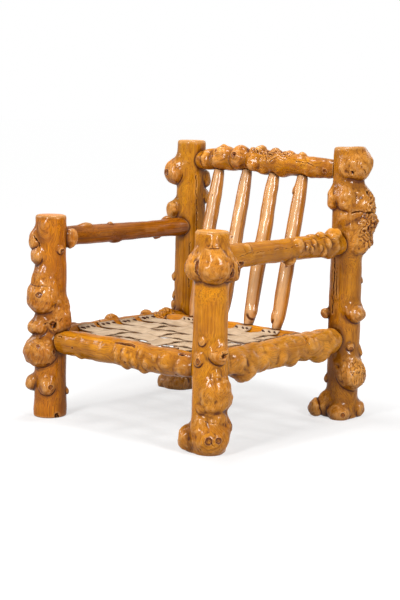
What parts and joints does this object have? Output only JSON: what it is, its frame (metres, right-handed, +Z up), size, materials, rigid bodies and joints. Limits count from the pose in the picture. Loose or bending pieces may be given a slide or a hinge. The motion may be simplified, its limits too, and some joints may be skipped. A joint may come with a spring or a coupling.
{
  "type": "root wood armchair",
  "caption": "Armchair of varnished burl pine logs, mortise-and-tenoned, with slanted back spindles and a woven seat of tacked leather strips.",
  "frame": {"origin": "middle of the whole chair's footprint, on the floor", "axes": "+Z up, the chair faces -Y, +X to the right as seen from the front"},
  "size_m": [0.7918, 0.7884, 0.825],
  "materials": {
    "post_pine": "gloss varnish over burl pine",
    "rail_pine": "gloss varnish over pine",
    "spindle_pine": "gloss varnish over pine",
    "seat_leather": "matt undyed leather"
  },
  "bodies": {
    "root": {"post_front_left": "post_pine", "post_front_right": "post_pine", "post_rear_left": "post_pine", "post_rear_right": "post_pine", "seat_rail_front": "rail_pine", "seat_rail_left": "rail_pine", "seat_rail_right": "rail_pine", "seat_rail_rear": "rail_pine", "arm_rail_left": "rail_pine", "arm_rail_right": "rail_pine", "crest_rail": "rail_pine", "back_spindle_1": "spindle_pine", "back_spindle_2": "spindle_pine", "back_spindle_3": "spindle_pine", "back_spindle_4": "spindle_pine", "seat_strip_lengthwise_1": "seat_leather", "seat_strip_lengthwise_2": "seat_leather", "seat_strip_lengthwise_3": "seat_leather", "seat_strip_lengthwise_4": "seat_leather", "seat_strip_crosswise_1": "seat_leather", "seat_strip_crosswise_2": "seat_leather", "seat_strip_crosswise_3": "seat_leather", "seat_strip_crosswise_4": "seat_leather"}
  },
  "joints": []
}
